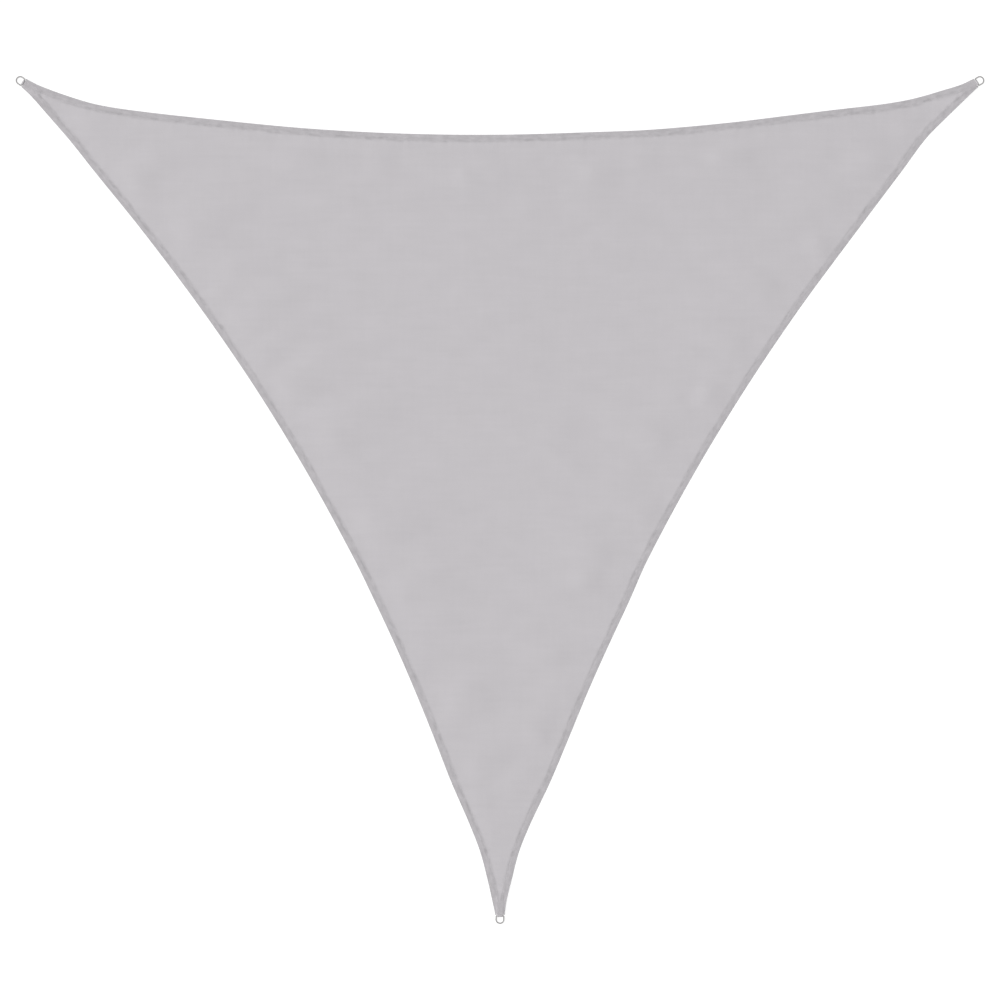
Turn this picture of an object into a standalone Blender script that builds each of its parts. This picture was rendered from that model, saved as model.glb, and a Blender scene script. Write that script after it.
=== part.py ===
"""Triangular shade sail of 3.6 m, laid out flat and drawn tight by a D-ring at each of its three corners.

Metres, +Z up, and the floor is z = 0. The origin is on the floor under the middle of the whole outline.
+Y points from the front corner to the long back edge, and +X to the right as seen from the front corner.

The pieces are the sail with its turned hem, three webbing tabs sewn into its corners and three wire D-rings.
"""

import math

import bmesh
import bpy
from mathutils import Matrix, Vector
from mathutils.geometry import delaunay_2d_cdt, intersect_line_line_2d, intersect_point_line

# ---------------------------------------------------------------- driving sizes

RING_SPAN = 3.568  # between the centres of the two back rings
RING_REACH = 3.119  # from the line of the back rings to the centre of the front ring

CLOTH_THICKNESS = 0.0010
HEM_WIDTH = 0.025
HEM_THICKNESS = 0.0022  # the cloth is turned in twice and sewn flat
HEM_STEP = 0.002  # the hem falls to the single cloth over this width

WIRE = 0.0055  # diameter of a ring's wire
RING_WIDTH = 0.034  # outside, across the legs
BAR_BACK = 0.0135  # from the centre of a ring's bow back to the middle of its straight bar
RING_CORNER = 0.004  # bend between leg and bar, on the wire's centreline

WEBBING_WIDTH = 0.020
WEBBING_THICKNESS = 0.0014
TAIL_LENGTH = 0.060  # of a tab's two tails inside the sail's corner

TIP_BACK = 0.0190  # from the centre of a ring's bow back to the square end of the cloth
TIP_WIDTH = 0.035
CLEARANCE = 0.0003  # between pieces that touch on the real sail

# ---------------------------------------------------------------- short tables

# name: where its ring sits (shares of half the span and half the reach), and which way it points, in degrees
CORNERS = {
    "left": (-1, 1, 147),
    "right": (1, 1, 31),
    "front": (0, -1, 270),
}

# edge: the corner it starts at and the corner it ends at
EDGES = {"back": ("left", "right"), "left": ("left", "front"), "right": ("right", "front")}

# How far each edge is cut in from the straight line between its two ring centres, at shares of that line.
# The back edge runs from left to right, and both sides run from the back to the front.
EDGE_CUT = (
    # along, back, left, right
    (0.02, 0.019, 0.007, 0.008),
    (0.05, 0.058, 0.029, 0.039),
    (0.08, 0.089, 0.050, 0.067),
    (0.12, 0.112, 0.072, 0.084),
    (0.20, 0.144, 0.118, 0.120),
    (0.30, 0.178, 0.163, 0.162),
    (0.40, 0.197, 0.192, 0.188),
    (0.50, 0.201, 0.202, 0.197),
    (0.60, 0.191, 0.195, 0.188),
    (0.65, 0.184, 0.183, 0.170),
    (0.70, 0.170, 0.168, 0.155),
    (0.75, 0.152, 0.148, 0.137),
    (0.80, 0.130, 0.124, 0.114),
    (0.85, 0.108, 0.097, 0.092),
    (0.90, 0.087, 0.077, 0.078),
    (0.93, 0.068, 0.060, 0.063),
    (0.96, 0.038, 0.031, 0.034),
    (0.98, 0.016, 0.009, 0.013),
)
EDGE_COLUMN = {"back": 1, "left": 2, "right": 3}

# Soft ridges where the cloth stands off the floor: start, end, half width and height.
FOLDS = (
    # x1, y1, x2, y2, half width, height
    (-1.56, 1.39, -1.22, 1.06, 0.09, 0.0021),
    (-1.30, 1.25, -0.98, 0.92, 0.10, 0.0018),
    (-1.17, 0.98, -0.84, 0.80, 0.11, 0.0024),
    (-0.98, 0.66, -0.62, 0.60, 0.11, 0.0018),
    (-0.80, 0.40, -0.44, 0.34, 0.12, 0.0024),
    (-0.64, 0.20, -0.44, -0.16, 0.11, 0.0027),
    (-0.52, -0.08, -0.20, -0.22, 0.11, 0.0021),
    (-0.38, -0.33, -0.10, -0.42, 0.10, 0.0021),
    (-0.20, -0.70, 0.02, -0.80, 0.10, 0.0024),
    (-0.10, -0.98, -0.02, -1.34, 0.07, 0.0018),
    (1.52, 1.36, 1.20, 1.12, 0.09, 0.0021),
    (1.24, 1.10, 0.96, 1.00, 0.10, 0.0024),
    (1.00, 0.76, 0.66, 0.80, 0.12, 0.0021),
    (0.76, 0.44, 0.52, 0.26, 0.11, 0.0027),
    (0.62, 0.16, 0.34, 0.10, 0.11, 0.0021),
    (0.44, -0.22, 0.16, -0.32, 0.12, 0.0027),
    (0.24, -0.66, 0.10, -0.90, 0.09, 0.0024),
    (-0.92, 1.30, -0.50, 1.24, 0.10, 0.0018),
    (-0.34, 1.24, 0.06, 1.20, 0.10, 0.0027),
    (0.22, 1.26, 0.46, 1.16, 0.11, 0.0021),
    (0.64, 1.28, 1.00, 1.24, 0.10, 0.0024),
    (-0.46, 1.00, 0.30, 0.98, 0.12, 0.0018),
    (-0.10, 0.34, 0.44, 0.06, 0.12, 0.0024),
    (-0.22, 0.78, 0.24, 0.66, 0.12, 0.0015),
)

# ---------------------------------------------------------------- sizes worked out from these

WIRE_RADIUS = WIRE / 2
RING_RADIUS = RING_WIDTH / 2 - WIRE_RADIUS  # of the bow's centreline
LOOP_INNER = WIRE_RADIUS + CLEARANCE  # webbing's inner face round the bar
LOOP_OUTER = LOOP_INNER + WEBBING_THICKNESS
BAR_HEIGHT = LOOP_OUTER  # the loop lies on the floor
RING_TILT = math.asin((BAR_HEIGHT - WIRE_RADIUS) / (BAR_BACK + RING_RADIUS))  # its bow lies on the floor

TAIL_MIDDLE = CLEARANCE / 2 + WEBBING_THICKNESS / 2  # from the bar's height to the middle of either tail
POCKET_HALF_HEIGHT = CLEARANCE / 2 + WEBBING_THICKNESS + CLEARANCE
POCKET_HALF_WIDTH = WEBBING_WIDTH / 2 + CLEARANCE
POCKET_DEPTH = TAIL_LENGTH + CLEARANCE
TIP_THICKNESS = 2 * (POCKET_HALF_HEIGHT + CLOTH_THICKNESS)

BOSS_HALF_WIDTH = POCKET_HALF_WIDTH + 0.0012  # full thickness over the pocket and a seam beside it
BOSS_FOOT = BOSS_HALF_WIDTH + 0.003  # and down to the hem's thickness by here
BOSS_LENGTH = POCKET_DEPTH + 0.002
BOSS_END = BOSS_LENGTH + 0.014
TIP_LIFT_LENGTH = 0.110  # behind the boss the cloth comes down to the floor over this length

# ---------------------------------------------------------------- how finely curves are divided

EDGE_POINTS = 88  # along one edge
EDGE_CROWDING = 0.6  # 0 spaces them evenly, and towards 1 crowds them near the tips
CELL = 0.056  # spacing of the points inside the sail
BOSS_ROWS = (0.016, 0.031, 0.047, BOSS_LENGTH, BOSS_END)
WIRE_SIDES = 12
BOW_STEPS = 15  # an odd number puts a flat facet at the middle of the bow
BEND_STEPS = 4
LOOP_STEP = 30  # degrees between the corners of the webbing's bend round the bar


# ---------------------------------------------------------------- helpers


def clear_scene():
    for old in list(bpy.data.objects):
        bpy.data.objects.remove(old, do_unlink=True)


def material(name, colour, roughness, metallic=0.0):
    made = bpy.data.materials.new(name)
    made.use_nodes = True
    shader = made.node_tree.nodes["Principled BSDF"]
    shader.inputs["Base Color"].default_value = (*colour, 1.0)
    shader.inputs["Roughness"].default_value = roughness
    shader.inputs["Metallic"].default_value = metallic
    made.diffuse_color = (*colour, 1.0)
    return made


def add_object(name, mesh_maker, finish=None, parent=None, smooth_angle=None):
    """An object from a bmesh, with its faces turned outwards."""
    bmesh.ops.recalc_face_normals(mesh_maker, faces=mesh_maker.faces)
    mesh = bpy.data.meshes.new(name)
    mesh_maker.to_mesh(mesh)
    mesh_maker.free()
    if finish:
        mesh.materials.append(finish)
    if smooth_angle:
        mesh.shade_smooth()
        mesh.set_sharp_from_angle(angle=math.radians(smooth_angle))
    made = bpy.data.objects.new(name, mesh)
    made.parent = parent
    bpy.context.collection.objects.link(made)
    return made


def corner_place(corner):
    """A corner's ring centre, and the unit vectors outwards and across, in plan."""
    x_share, y_share, way = CORNERS[corner]
    centre = Vector((x_share * RING_SPAN / 2, y_share * RING_REACH / 2))
    outwards = Vector((math.cos(math.radians(way)), math.sin(math.radians(way))))
    across = Vector((-outwards.y, outwards.x))
    return centre, outwards, across


def tip_point(corner, back, aside):
    """A point of the cloth's corner, back from its square end and aside from its middle line."""
    centre, outwards, across = corner_place(corner)
    return centre - outwards * (TIP_BACK + back) + across * aside


def in_corner(corner, point):
    """(back, aside) of a point, as tip_point takes them."""
    centre, outwards, across = corner_place(corner)
    from_centre = point - centre
    return -from_centre.dot(outwards) - TIP_BACK, from_centre.dot(across)


def smooth_step(value, low, high):
    """0 below low and 1 above high, with a soft S between."""
    share = min(1.0, max(0.0, (value - low) / (high - low)))
    return share * share * (3 - 2 * share)


def through(rows, at):
    """A smooth (Catmull-Rom) curve through rows of (at, value)."""
    last = len(rows) - 2
    i = next((k for k in range(last) if at < rows[k + 1][0]), last)
    (x1, y1), (x2, y2) = rows[i], rows[i + 1]
    x0, y0 = rows[i - 1] if i > 0 else (2 * x1 - x2, 2 * y1 - y2)
    x3, y3 = rows[i + 2] if i < last else (2 * x2 - x1, 2 * y2 - y1)
    start_slope = (y2 - y0) / (x2 - x0) * (x2 - x1)
    end_slope = (y3 - y1) / (x3 - x1) * (x2 - x1)
    t = (at - x1) / (x2 - x1)
    return (
        (2 * t**3 - 3 * t**2 + 1) * y1
        + (t**3 - 2 * t**2 + t) * start_slope
        + (3 * t**2 - 2 * t**3) * y2
        + (t**3 - t**2) * end_slope
    )


# ---------------------------------------------------------------- the sail's flat cut


def edge_line(edge):
    """The points of one edge, from the tip at its start to the tip at its end."""
    start, end = EDGES[edge]
    first, last = corner_place(start)[0], corner_place(end)[0]
    along = (last - first).normalized()
    length = (last - first).length
    inwards = Vector((-along.y, along.x))
    if inwards.dot(-first) < 0:
        inwards = -inwards

    def tip_row(corner):
        """Which side of the square end this edge leaves from, as (share of the line, cut)."""
        sides = [tip_point(corner, 0, side * TIP_WIDTH / 2) - first for side in (-1, 1)]
        side = min(sides, key=lambda s: s.dot(inwards))
        return side.dot(along) / length, side.dot(inwards)

    column = EDGE_COLUMN[edge]
    rows = [tip_row(start)] + [(row[0], row[column]) for row in EDGE_CUT] + [tip_row(end)]
    points = []
    for i in range(EDGE_POINTS + 1):
        share = i / EDGE_POINTS
        share -= EDGE_CROWDING * math.sin(2 * math.pi * share) / (2 * math.pi)
        at = rows[0][0] + (rows[-1][0] - rows[0][0]) * share
        points.append(first + along * (length * at) + inwards * through(rows, at))
    return points


def distance_to(line, point):
    """From a point to the nearest segment of a line of points."""
    best = math.inf
    for a, b in zip(line, line[1:]):
        nearest, share = intersect_point_line(point, a, b)
        if share < 0:
            nearest = a.to_3d()
        elif share > 1:
            nearest = b.to_3d()
        best = min(best, (nearest.to_2d() - point).length)
    return best


def moved_inwards(line, inset):
    """The line of points this far inside one edge."""
    moved = []
    for before, point, after in zip(line, line[1:], line[2:]):
        run = (after - before).normalized()
        inwards = Vector((-run.y, run.x))
        moved.append(point + (inwards if inwards.dot(-point) > 0 else -inwards) * inset)
    return moved


def crossing(line, other):
    """Where two lines of points cross, and the number of the segment of each that the crossing is on."""
    for i, (a, b) in enumerate(zip(line, line[1:])):
        for j, (c, d) in enumerate(zip(other, other[1:])):
            point = intersect_line_line_2d(a, b, c, d)
            if point:
                return point, i, j
    raise ValueError("two edges of the sail don't meet")


def inner_line(lines, inset):
    """The closed line that runs this far inside all three edges."""
    moved = [moved_inwards(line, inset) for line in (lines["back"], lines["right"], lines["left"][::-1])]
    corners = [crossing(moved[k - 1], moved[k]) for k in range(3)]
    loop = []
    for k in range(3):
        start, end = corners[k], corners[(k + 1) % 3]
        loop.append(start[0])
        loop.extend(moved[k][start[2] + 1 : end[1] + 1])
    return loop


def flat_cut():
    """The sail laid flat: its points, its triangles and its three edges."""
    lines = {edge: edge_line(edge) for edge in EDGES}

    outline = []
    asides = (BOSS_FOOT, BOSS_HALF_WIDTH, BOSS_HALF_WIDTH / 3)
    asides += tuple(-aside for aside in reversed(asides))
    for line, corner in (
        (lines["back"], "right"),
        (lines["right"], "front"),
        (reversed(lines["left"]), "left"),
    ):
        outline.extend(line)
        outline.extend(tip_point(corner, 0, aside) for aside in asides)

    points, constraints = [], []
    for loop in (outline, inner_line(lines, HEM_WIDTH), inner_line(lines, HEM_WIDTH + HEM_STEP)):
        first = len(points)
        points.extend(loop)
        constraints.extend((first + i, first + (i + 1) % len(loop)) for i in range(len(loop)))

    points.extend(tip_point(corner, back, aside) for corner in CORNERS for back in BOSS_ROWS for aside in asides)

    rows = math.ceil(RING_REACH / (CELL * math.sqrt(0.75)))
    columns = math.ceil(RING_SPAN / CELL)
    for row in range(rows):
        for column in range(columns):
            x = (column + (row % 2) / 2 - columns / 2) * CELL
            y = (row - rows / 2) * CELL * math.sqrt(0.75)
            point = Vector((x, y))
            if inside(outline, point):
                if min(distance_to(line, point) for line in lines.values()) > HEM_WIDTH + 0.4 * CELL:
                    points.append(point)

    made = delaunay_2d_cdt(points, constraints, [list(range(len(outline)))], 1, 1e-6)
    return made[0], made[2], lines


def inside(outline, point):
    """Whether a point is inside a closed outline, by counting the sides that a ray to +X crosses."""
    crossings = 0
    for a, b in zip(outline, outline[1:] + outline[:1]):
        if (a.y > point.y) != (b.y > point.y):
            crossings += point.x < a.x + (b.x - a.x) * (point.y - a.y) / (b.y - a.y)
    return crossings % 2 == 1


# ---------------------------------------------------------------- the sail's heights


def fold_height(point):
    """How far the soft ridges lift the cloth here."""
    height = 0.0
    for x1, y1, x2, y2, half_width, top in FOLDS:
        start, end = Vector((x1, y1)), Vector((x2, y2))
        run = end - start
        share = (point - start).dot(run) / run.length_squared
        from_line = abs((point - start).cross(run)) / run.length
        if 0 < share < 1 and from_line < half_width:
            slope = math.cos(math.pi / 2 * from_line / half_width) ** 2
            height = max(height, top * slope * math.sin(math.pi * share) ** 1.5)
    return height


def cloth_faces(point, from_edge):
    """The heights of the cloth's lower and upper face at a point in plan."""
    turned = 1 - smooth_step(from_edge, HEM_WIDTH, HEM_WIDTH + HEM_STEP)
    thickness = CLOTH_THICKNESS + (HEM_THICKNESS - CLOTH_THICKNESS) * turned
    lower = fold_height(point) * smooth_step(from_edge, 0.0, HEM_WIDTH + HEM_STEP)
    for corner in CORNERS:
        back, aside = in_corner(corner, point)
        if back > BOSS_END + TIP_LIFT_LENGTH or abs(aside) > 3 * TIP_WIDTH:
            continue
        boss = 1 - smooth_step(back, BOSS_LENGTH, BOSS_END)
        boss *= 1 - smooth_step(abs(aside), BOSS_HALF_WIDTH, BOSS_FOOT)
        thickness += (TIP_THICKNESS - HEM_THICKNESS) * boss
        held_up = 1 - smooth_step(back, BOSS_LENGTH, BOSS_END + TIP_LIFT_LENGTH)
        lower += (BAR_HEIGHT - thickness / 2 - lower) * held_up
    return lower, lower + thickness


def make_sail(finish):
    """The panel and its hem in one solid, with a pocket in each corner for a tab's tails."""
    plan, triangles, lines = flat_cut()
    shape = bmesh.new()
    lower, upper = [], []
    for point in plan:
        low, high = cloth_faces(point, min(distance_to(line, point) for line in lines.values()))
        lower.append(shape.verts.new((point.x, point.y, low)))
        upper.append(shape.verts.new((point.x, point.y, high)))
    sides = {side for a, b, c in triangles for side in ((a, b), (b, c), (c, a))}
    for triangle in triangles:
        shape.faces.new([upper[i] for i in triangle])
        shape.faces.new([lower[i] for i in reversed(triangle)])
    for a, b in sorted(sides):
        if (b, a) not in sides:
            shape.faces.new((upper[b], upper[a], lower[a], lower[b]))
    sail = add_object("sail", shape, finish)

    cutter = bmesh.new()
    length = POCKET_DEPTH + WEBBING_WIDTH
    for corner in CORNERS:
        _, outwards, _ = corner_place(corner)
        middle = tip_point(corner, POCKET_DEPTH - length / 2, 0).to_3d()
        middle.z = BAR_HEIGHT
        turn = Matrix.Rotation(math.atan2(outwards.y, outwards.x), 4, "Z")
        size = Matrix.Diagonal((length, 2 * POCKET_HALF_WIDTH, 2 * POCKET_HALF_HEIGHT, 1))
        bmesh.ops.create_cube(cutter, size=1, matrix=Matrix.Translation(middle) @ turn @ size)
    pockets = add_object("pocket_cutter", cutter)
    pockets.hide_render = True
    pockets.display_type = "WIRE"
    cut = sail.modifiers.new("pockets", "BOOLEAN")
    cut.operation = "DIFFERENCE"
    cut.object = pockets
    return sail


# ---------------------------------------------------------------- corner hardware


def corner_empty(corner):
    """An empty at the ring's centre on the floor, with +X outwards, that carries the corner's tab and ring."""
    centre, outwards, _ = corner_place(corner)
    empty = bpy.data.objects.new(f"corner_{corner}", None)
    empty.location = (centre.x, centre.y, 0)
    empty.rotation_euler = (0, 0, math.atan2(outwards.y, outwards.x))
    bpy.context.collection.objects.link(empty)
    return empty


def arc(centre, radius, start, end, steps):
    """Points and outward normals of an arc, with both ends, in degrees."""
    found = []
    for i in range(steps + 1):
        angle = math.radians(start + (end - start) * i / steps)
        normal = Vector((math.cos(angle), math.sin(angle)))
        found.append((centre + normal * radius, normal))
    return found


def make_ring(corner, finish, parent):
    """A bent wire: a half-round bow, two short legs and a straight bar, tilted about the bar so that the bow lies down."""
    bend = RING_RADIUS - RING_CORNER
    path = arc(Vector((0, 0)), RING_RADIUS, -90, 90, BOW_STEPS)
    path += arc(Vector((-BAR_BACK + RING_CORNER, bend)), RING_CORNER, 90, 180, BEND_STEPS)
    path += arc(Vector((-BAR_BACK + RING_CORNER, -bend)), RING_CORNER, 180, 270, BEND_STEPS)

    shape = bmesh.new()
    sections = []
    for point, normal in path:
        section = []
        for side in range(WIRE_SIDES):
            angle = 2 * math.pi * (side + 0.5) / WIRE_SIDES
            place = point + normal * (WIRE_RADIUS * math.cos(angle))
            # measured from the bar, about which the ring is turned
            section.append(shape.verts.new((place.x + BAR_BACK, place.y, WIRE_RADIUS * math.sin(angle))))
        sections.append(section)
    for near, far in zip(sections, sections[1:] + sections[:1]):
        for side in range(WIRE_SIDES):
            after = (side + 1) % WIRE_SIDES
            shape.faces.new((near[side], near[after], far[after], far[side]))
    ring = add_object(f"ring_{corner}", shape, finish, parent, smooth_angle=50)
    ring.location = (-BAR_BACK, 0, BAR_HEIGHT)
    ring.rotation_euler = (0, RING_TILT, 0)
    return ring


def make_tab(corner, finish, parent):
    """Webbing folded once round the ring's bar, with its two tails lying on each other in the sail's corner."""
    bar = Vector((-BAR_BACK, BAR_HEIGHT))
    loop_middle = LOOP_INNER + WEBBING_THICKNESS / 2
    # Where the webbing leaves the bar at 45 degrees it runs straight to the height of its tail.
    leave = loop_middle * math.sin(math.radians(45))
    neck = -BAR_BACK - leave - (leave - TAIL_MIDDLE)
    tail_end = -TIP_BACK - TAIL_LENGTH

    stretch = 1 / math.cos(math.radians(LOOP_STEP / 2))  # so that the flats keep the clearance
    loop = arc(Vector((0, 0)), 1.0, 135, -135, 270 // LOOP_STEP)
    mitre = Vector((-math.tan(math.radians(22.5)), 1)) * (WEBBING_THICKNESS / 2)

    def side(offset):
        """One face of the webbing, offset from its middle by a share of half its thickness."""
        line = [
            Vector((tail_end, BAR_HEIGHT + TAIL_MIDDLE + offset * WEBBING_THICKNESS / 2)),
            Vector((neck, BAR_HEIGHT + TAIL_MIDDLE)) + mitre * offset,
        ]
        radius = (loop_middle + offset * WEBBING_THICKNESS / 2) * stretch
        line += [bar + normal * radius for _, normal in loop]
        below = [Vector((point.x, 2 * BAR_HEIGHT - point.y)) for point in line[:2]]
        return line + list(reversed(below))

    profile = side(1) + list(reversed(side(-1)))
    shape = bmesh.new()
    face = shape.faces.new([shape.verts.new((x, -WEBBING_WIDTH / 2, z)) for x, z in profile])
    grown = bmesh.ops.extrude_face_region(shape, geom=[face], use_keep_orig=True)
    far = [item for item in grown["geom"] if isinstance(item, bmesh.types.BMVert)]
    bmesh.ops.translate(shape, vec=(0, WEBBING_WIDTH, 0), verts=far)
    return add_object(f"tab_{corner}", shape, finish, parent)


# ---------------------------------------------------------------- the whole sail


def main():
    clear_scene()
    cloth = material("cloth", (0.535, 0.515, 0.535), 0.85)
    webbing = material("webbing", (0.46, 0.44, 0.46), 0.80)
    steel = material("steel", (0.62, 0.61, 0.60), 0.25, metallic=1.0)

    make_sail(cloth)
    for corner in CORNERS:
        empty = corner_empty(corner)
        make_tab(corner, webbing, empty)
        make_ring(corner, steel, empty)


main()
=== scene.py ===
# %% [markdown]
# # Dressing a triangular shade sail
#
# A shade sail is one triangle of cloth. Its three edges are cut hollow, so that it stays tight when its
# corners are pulled, and a hem is turned in and sewn all round. A short strap of webbing holds a steel D-ring
# at each corner. Here the sail lies face up on a pale floor and is seen from straight above.
#
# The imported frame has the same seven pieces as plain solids. Each of them gets a finished piece in its place,
# so the frame comes first: every later size is in its metres, with the floor at z = 0.

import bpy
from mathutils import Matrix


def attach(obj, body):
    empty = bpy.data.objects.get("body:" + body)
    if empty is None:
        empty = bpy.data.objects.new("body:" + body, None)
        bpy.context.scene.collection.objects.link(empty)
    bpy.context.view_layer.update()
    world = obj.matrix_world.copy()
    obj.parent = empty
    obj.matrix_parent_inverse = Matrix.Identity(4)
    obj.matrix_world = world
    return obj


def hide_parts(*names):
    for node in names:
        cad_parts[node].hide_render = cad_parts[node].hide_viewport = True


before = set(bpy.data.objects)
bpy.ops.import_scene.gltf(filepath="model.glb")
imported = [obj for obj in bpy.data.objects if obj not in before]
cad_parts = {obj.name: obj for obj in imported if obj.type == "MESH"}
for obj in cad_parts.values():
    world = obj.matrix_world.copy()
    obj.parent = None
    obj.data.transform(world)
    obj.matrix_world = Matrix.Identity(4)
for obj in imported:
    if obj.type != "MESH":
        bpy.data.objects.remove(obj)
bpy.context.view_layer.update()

# %% Libraries
import math

import bpy
import numpy as np
from mathutils import Matrix
from numpy.linalg import norm

# %% [markdown]
# ## The place to look from
#
# A camera that looks straight down needs no turning: an unturned camera in Blender looks along -Z with +Y up.
# A long lens keeps the corners as undistorted as the middle. Its height follows from the width of floor that
# has to fill the picture, so the sail lands on the same spot as in the photograph.

# %% Camera
PICTURE_WIDTH = 3.719  # metres of floor across the square picture
LENS, SENSOR = 100.0, 36.0  # millimetres

camera = bpy.data.objects.new("camera", bpy.data.cameras.new("camera"))
camera.data.lens = LENS
camera.data.sensor_width = SENSOR
camera.data.clip_end = 1000.0
camera.location = (0.0, 0.0, PICTURE_WIDTH * LENS / SENSOR)
scene = bpy.context.scene
scene.collection.objects.link(camera)
scene.camera = camera
scene.view_settings.view_transform = "Standard"  # so that a white floor stays white
print("the camera hangs", round(camera.location.z, 3), "m above the floor")

# %% [markdown]
# ## How a finish is made
#
# Each finish is a Principled BSDF with its own small tree of nodes. Numbers that are the same all over stay
# on the shader's sockets, and only what changes over the surface is wired in. One helper adds a node and
# fills its sockets, so that each tree below reads from top to bottom. The sky's tree is made the same way.


# %% Node helpers
def new_finish(name, colour, sockets):
    """A material and its shader, with the values that are the same all over."""
    finish = bpy.data.materials.new(name)
    finish.use_nodes = True
    finish.diffuse_color = (*colour, 1.0)
    shader = finish.node_tree.nodes["Principled BSDF"]
    for socket, value in {"Base Color": (*colour, 1.0), **sockets}.items():
        shader.inputs[socket].default_value = value
    return finish, shader


def add_node(finish, kind, sockets=None, **settings):
    """A node of a finish. A socket takes either a value or the output of an earlier node."""
    node = finish.node_tree.nodes.new("ShaderNode" + kind)
    for name, value in settings.items():
        setattr(node, name, value)
    for socket, value in (sockets or {}).items():
        if isinstance(value, bpy.types.NodeSocket):
            finish.node_tree.links.new(value, node.inputs[socket])
        else:
            node.inputs[socket].default_value = value
    return node


def wire(finish, output, shader, socket):
    finish.node_tree.links.new(output, shader.inputs[socket])


def noise_at(finish, place, stretch, detail=2.0, roughness=0.5, **settings):
    """How strong a soft noise is at each point, with so many waves in a metre along each axis."""
    mapping = add_node(finish, "Mapping", {"Vector": place, "Scale": stretch})
    sockets = {"Vector": mapping.outputs[0], "Scale": 1.0, "Detail": detail, "Roughness": roughness}
    return add_node(finish, "TexNoise", sockets, **settings).outputs["Fac"]


def tuned(finish, value, low, high, to_low, to_high, kind="LINEAR"):
    """A value carried from one range to another."""
    sockets = {"Value": value, "From Min": low, "From Max": high, "To Min": to_low, "To Max": to_high}
    return add_node(finish, "MapRange", sockets, interpolation_type=kind).outputs["Result"]


def combined(finish, operation, first, second):
    return add_node(finish, "Math", {0: first, 1: second}, operation=operation).outputs[0]


def mixed(finish, share, first, second, **settings):
    """Two colours, mixed by a share from 0 to 1."""
    sockets = {0: share, 6: first, 7: second}
    return add_node(finish, "Mix", sockets, data_type="RGBA", **settings).outputs[2]


def relief(finish, steps):
    """One bump on another: rows of (height, depth in metres, strength)."""
    normal = None
    for value, depth, strength in steps:
        sockets = {"Height": value, "Distance": depth, "Strength": strength}
        if normal:
            sockets["Normal"] = normal
        normal = add_node(finish, "Bump", sockets).outputs[0]
    return normal


# %% [markdown]
# ## Light
#
# The photograph is lit softly, and more from the left: the cloth is brightest where it slopes to the left. A
# wide sun gives that side light, and a bright sky fills the rest. The sky is darker near the horizon, because
# polished steel shows nothing but its surroundings, and a ring in an even white room would look like plastic.
#
# A sun lights every place alike, but the left third of the cloth is a trace brighter than the right third. So
# a weak lamp stands at the left, near enough for its light to fall off across the cloth. It is also what
# glints in the rings, which are too fine to show the wide sun as anything but a white gap.

# %% Sun and sky
SUN_FROM = (-0.74, 0.08, 0.66)  # from the left, and above
SUN_STRENGTH, SUN_ANGLE = 3.1, 28
SKY_TOP, SKY_SIDE = 0.50, 0.26  # brightness overhead and at the horizon

sun = bpy.data.objects.new("sun", bpy.data.lights.new("sun", "SUN"))
sun.data.energy = SUN_STRENGTH
sun.data.angle = math.radians(SUN_ANGLE)
sun.visible_glossy = False  # it doesn't glare in the rings
side, away, up = SUN_FROM
sun.rotation_euler = (math.acos(up / math.hypot(side, away, up)), 0.0, math.atan2(away, side) + math.pi / 2)
scene.collection.objects.link(sun)

sky = bpy.data.worlds.new("sky")
scene.world = sky
sky.use_nodes = True
direction = add_node(sky, "TexCoord").outputs["Generated"]
upwards = add_node(sky, "SeparateXYZ", {0: direction}).outputs["Z"]
brightness = tuned(sky, upwards, 0.05, 0.85, SKY_SIDE, SKY_TOP, "SMOOTHSTEP")
wire(sky, brightness, sky.node_tree.nodes["Background"], "Color")
print("sun", SUN_STRENGTH, "and sky", SKY_SIDE, "to", SKY_TOP)

# %% A lamp at the left
LAMP_PLACE, LAMP_WIDTH, LAMP_POWER = (-6.0, 0.0, 3.5), 1.6, 22.0

lamp = bpy.data.objects.new("lamp", bpy.data.lights.new("lamp", "AREA"))
lamp.data.size = LAMP_WIDTH
lamp.data.energy = LAMP_POWER
lamp.location = LAMP_PLACE
lamp.rotation_euler = (0.0, -math.atan2(-LAMP_PLACE[0], LAMP_PLACE[2]), 0.0)  # tipped towards the sail
scene.collection.objects.link(lamp)
print("a lamp of", LAMP_POWER, "W", -LAMP_PLACE[0], "m to the left")

# %% [markdown]
# ## The floor
#
# A plain white floor, a hair below the cloth, so that nothing lies in the same plane. The photograph's ground
# is full white everywhere, even beside the rings, as on a light table. So most of the floor's light is its
# own glow, which fills the small shadows. With the sun it comes to just over full white, because a floor far
# above white would eat into the edges of the cloth and the thin rings.

# %% Floor
FLOOR_SIZE, FLOOR_DROP, FLOOR_COLOUR, FLOOR_GLOW = 240.0, 0.0005, 0.16, 0.90

bpy.ops.mesh.primitive_plane_add(size=FLOOR_SIZE, location=(0, 0, -FLOOR_DROP))
floor = bpy.context.object
floor.name = "floor"
bpy.ops.object.transform_apply(location=True, rotation=True, scale=True)
glow = {"Roughness": 0.95, "Emission Color": (1.0, 1.0, 1.0, 1.0), "Emission Strength": FLOOR_GLOW}
floor_finish, floor_shader = new_finish("floor", (FLOOR_COLOUR,) * 3, glow)
grain = add_node(floor_finish, "TexNoise", {"Scale": 40.0, "Detail": 3.0}).outputs["Fac"]
wire(floor_finish, tuned(floor_finish, grain, 0.3, 0.7, 0.90, 1.0, "SMOOTHSTEP"), floor_shader, "Roughness")
floor.data.materials.append(floor_finish)
print("floor", FLOOR_SIZE, "m square")

# %% [markdown]
# ## The sail's outline
#
# Each edge is cut as a shallow hollow curve between two rings. A short table says how far the curve lies
# inside the straight line, and a smooth curve through the rows gives every other place. At each corner the
# cloth ends in a short square end, just wide enough for the webbing.
#
# These are the sizes of the frame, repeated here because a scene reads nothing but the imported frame.

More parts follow.
